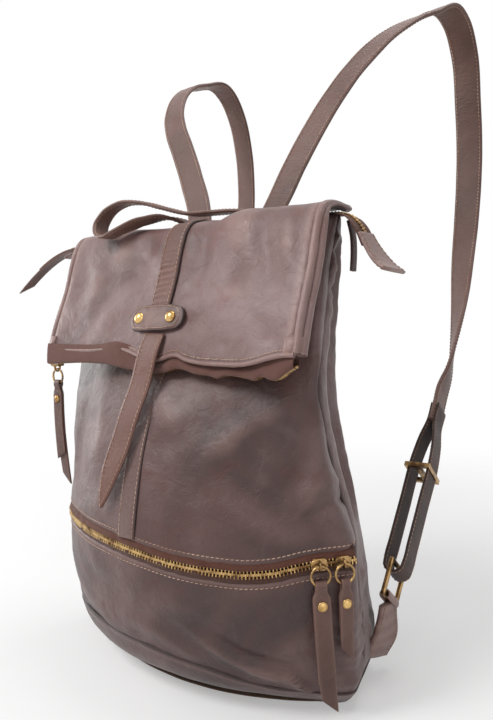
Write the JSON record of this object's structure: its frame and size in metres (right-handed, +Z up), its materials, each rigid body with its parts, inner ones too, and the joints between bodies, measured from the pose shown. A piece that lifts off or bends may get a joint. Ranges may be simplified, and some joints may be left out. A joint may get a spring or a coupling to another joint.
{
  "type": "leather backpack",
  "caption": "Leather backpack with a fold-over flap, zipped compartments, a curved front pocket, a carry loop and two shoulder straps.",
  "frame": {"origin": "middle of the base on the floor", "axes": "+Z up, -Y the front with the flap and pocket, +Y towards the wearer, +X the right side seen from the front"},
  "size_m": [0.4645, 0.4184, 0.6493],
  "materials": {
    "body_leather": "washed, soft sheen",
    "strap_suede": "flesh side out, matt",
    "lining_cloth": "plain cotton",
    "zip_tape": "woven tape",
    "antique_brass": "antique, worn bright on edges",
    "magnet_steel": "plain"
  },
  "bodies": {
    "bag": {"front_panel": "body_leather", "pocket_panel": "body_leather", "back_panel": "body_leather", "left_gusset": "body_leather", "right_gusset": "body_leather", "base_panel": "body_leather", "body_lining": "lining_cloth", "pocket_lining": "lining_cloth", "front_center_strip": "body_leather", "front_magnet": "magnet_steel", "back_yoke": "body_leather", "left_side_tab": "body_leather", "right_side_tab": "body_leather", "pocket_zip_tape": "zip_tape", "pocket_zip_teeth": "antique_brass", "main_zip_tape": "zip_tape", "main_zip_teeth": "antique_brass", "main_zip_right_tab": "body_leather", "main_zip_left_tab": "body_leather"},
    "flap": {"flap_outer": "body_leather", "flap_inner": "body_leather", "left_flap_piping": "body_leather", "right_flap_piping": "body_leather", "flap_zip_tape": "zip_tape", "flap_zip_teeth": "antique_brass", "closure_strap": "body_leather", "strap_keeper": "body_leather", "keeper_rivets": "antique_brass"},
    "tail": {"closure_tail": "body_leather", "tail_magnet": "magnet_steel"},
    "handle": {"handle": "body_leather"},
    "main_zip_slider": {"main_zip_slider": "antique_brass"},
    "main_zip_ring": {"main_zip_ring": "antique_brass"},
    "main_zip_pull": {"main_zip_pull": "body_leather", "main_zip_rivet": "antique_brass"},
    "flap_zip_slider": {"flap_zip_slider": "antique_brass"},
    "flap_zip_ring": {"flap_zip_ring": "antique_brass"},
    "flap_zip_pull": {"flap_zip_pull": "body_leather", "flap_zip_rivet": "antique_brass"},
    "pocket_front_slider": {"pocket_front_slider": "antique_brass"},
    "pocket_front_ring": {"pocket_front_ring": "antique_brass"},
    "pocket_front_pull": {"pocket_front_pull": "body_leather", "pocket_front_rivet": "antique_brass"},
    "pocket_rear_slider": {"pocket_rear_slider": "antique_brass"},
    "pocket_rear_ring": {"pocket_rear_ring": "antique_brass"},
    "pocket_rear_pull": {"pocket_rear_pull": "body_leather", "pocket_rear_rivet": "antique_brass"},
    "right_strap": {"right_shoulder_strap": "body_leather", "right_lower_strap": "strap_suede"},
    "right_slide": {"right_strap_slide": "antique_brass"},
    "right_ring": {"right_strap_ring": "antique_brass"},
    "left_strap": {"left_shoulder_strap": "body_leather", "left_lower_strap": "strap_suede"},
    "left_slide": {"left_strap_slide": "antique_brass"},
    "left_ring": {"left_strap_ring": "antique_brass"}
  },
  "joints": [
    {"name": "flap_hinge", "type": "hinge", "parent": "bag", "child": "flap", "pos_m": [0, 0.012, 0.414], "axis": [-1, 0, 0], "range_deg": [0, 85]},
    {"name": "tail_hinge", "type": "hinge", "parent": "flap", "child": "tail", "pos_m": [0, -0.0772, 0.3129], "axis": [-1, 0, 0], "range_deg": [0, 90]},
    {"name": "handle_hinge", "type": "hinge", "parent": "flap", "child": "handle", "pos_m": [0, 0.01, 0.423], "axis": [-1, 0, 0], "range_deg": [0, 20]},
    {"name": "main_zip_slide", "type": "slide", "parent": "bag", "child": "main_zip_slider", "axis": [1, 0, 0], "range_m": [0, 0.305]},
    {"name": "main_ring_hinge", "type": "hinge", "parent": "main_zip_slider", "child": "main_zip_ring", "pos_m": [-0.165, -0.001, 0.4103], "axis": [0, 1, 0], "range_deg": [0, 10]},
    {"name": "main_pull_hinge", "type": "hinge", "parent": "main_zip_ring", "child": "main_zip_pull", "pos_m": [-0.1791, -0.001, 0.4103], "axis": [0, 1, 0], "range_deg": [0, 10]},
    {"name": "hem_zip_slide", "type": "slide", "parent": "flap", "child": "flap_zip_slider", "axis": [1, 0, 0], "range_m": [0, 0.078]},
    {"name": "hem_ring_hinge", "type": "hinge", "parent": "flap_zip_slider", "child": "flap_zip_ring", "pos_m": [-0.138, -0.0762, 0.2808], "axis": [-1, 0, 0], "range_deg": [0, 60]},
    {"name": "hem_pull_hinge", "type": "hinge", "parent": "flap_zip_ring", "child": "flap_zip_pull", "pos_m": [-0.138, -0.0762, 0.2667], "axis": [-1, 0, 0], "range_deg": [0, 60]},
    {"name": "pocket_front_travel", "type": "hinge", "parent": "bag", "child": "pocket_front_slider", "pos_m": [0, 0.095, 0.131], "axis": [0, 0, 1], "range_deg": [-92, 0]},
    {"name": "pocket_front_ring_hinge", "type": "hinge", "parent": "pocket_front_slider", "child": "pocket_front_ring", "pos_m": [0.15345, -0.0639, 0.131], "axis": [-0.7193, -0.6947, 0], "range_deg": [0, 60]},
    {"name": "pocket_front_pull_hinge", "type": "hinge", "parent": "pocket_front_ring", "child": "pocket_front_pull", "pos_m": [0.15345, -0.0639, 0.1169], "axis": [-0.7193, -0.6947, 0], "range_deg": [0, 60]},
    {"name": "pocket_rear_travel", "type": "hinge", "parent": "bag", "child": "pocket_rear_slider", "pos_m": [0, 0.095, 0.131], "axis": [0, 0, 1], "range_deg": [0, 0.8]},
    {"name": "pocket_rear_ring_hinge", "type": "hinge", "parent": "pocket_rear_slider", "child": "pocket_rear_ring", "pos_m": [0.16672, -0.04992, 0.131], "axis": [-0.6561, -0.7547, 0], "range_deg": [0, 60]},
    {"name": "pocket_rear_pull_hinge", "type": "hinge", "parent": "pocket_rear_ring", "child": "pocket_rear_pull", "pos_m": [0.16672, -0.04992, 0.1169], "axis": [-0.6561, -0.7547, 0], "range_deg": [0, 60]},
    {"name": "right_strap_swing", "type": "hinge", "parent": "bag", "child": "right_strap", "pos_m": [0.164, 0.05396, 0.09322], "axis": [-0.3945, -0.0641, 0.9167], "range_deg": [-8, 8]},
    {"name": "right_slide_travel", "type": "slide", "parent": "right_strap", "child": "right_slide", "axis": [0, 0.6639, 0.7479], "range_m": [-0.06, 0.015]},
    {"name": "right_ring_hinge", "type": "hinge", "parent": "bag", "child": "right_ring", "pos_m": [0.164, 0.03404, 0.07078], "axis": [0, 0.7479, -0.6639], "range_deg": [-5, 5]},
    {"name": "left_strap_swing", "type": "hinge", "parent": "bag", "child": "left_strap", "pos_m": [-0.164, 0.05396, 0.09322], "axis": [0.3867, -0.0643, 0.92], "range_deg": [-8, 8]},
    {"name": "left_slide_travel", "type": "slide", "parent": "left_strap", "child": "left_slide", "axis": [0, 0.6639, 0.7479], "range_m": [-0.06, 0.015]},
    {"name": "left_ring_hinge", "type": "hinge", "parent": "bag", "child": "left_ring", "pos_m": [-0.164, 0.03404, 0.07078], "axis": [0, 0.7479, -0.6639], "range_deg": [-5, 5]}
  ],
  "couplings": [
    {"joint": "hem_ring_hinge", "follows": "hem_zip_slide", "rad_per_m": 5}
  ]
}
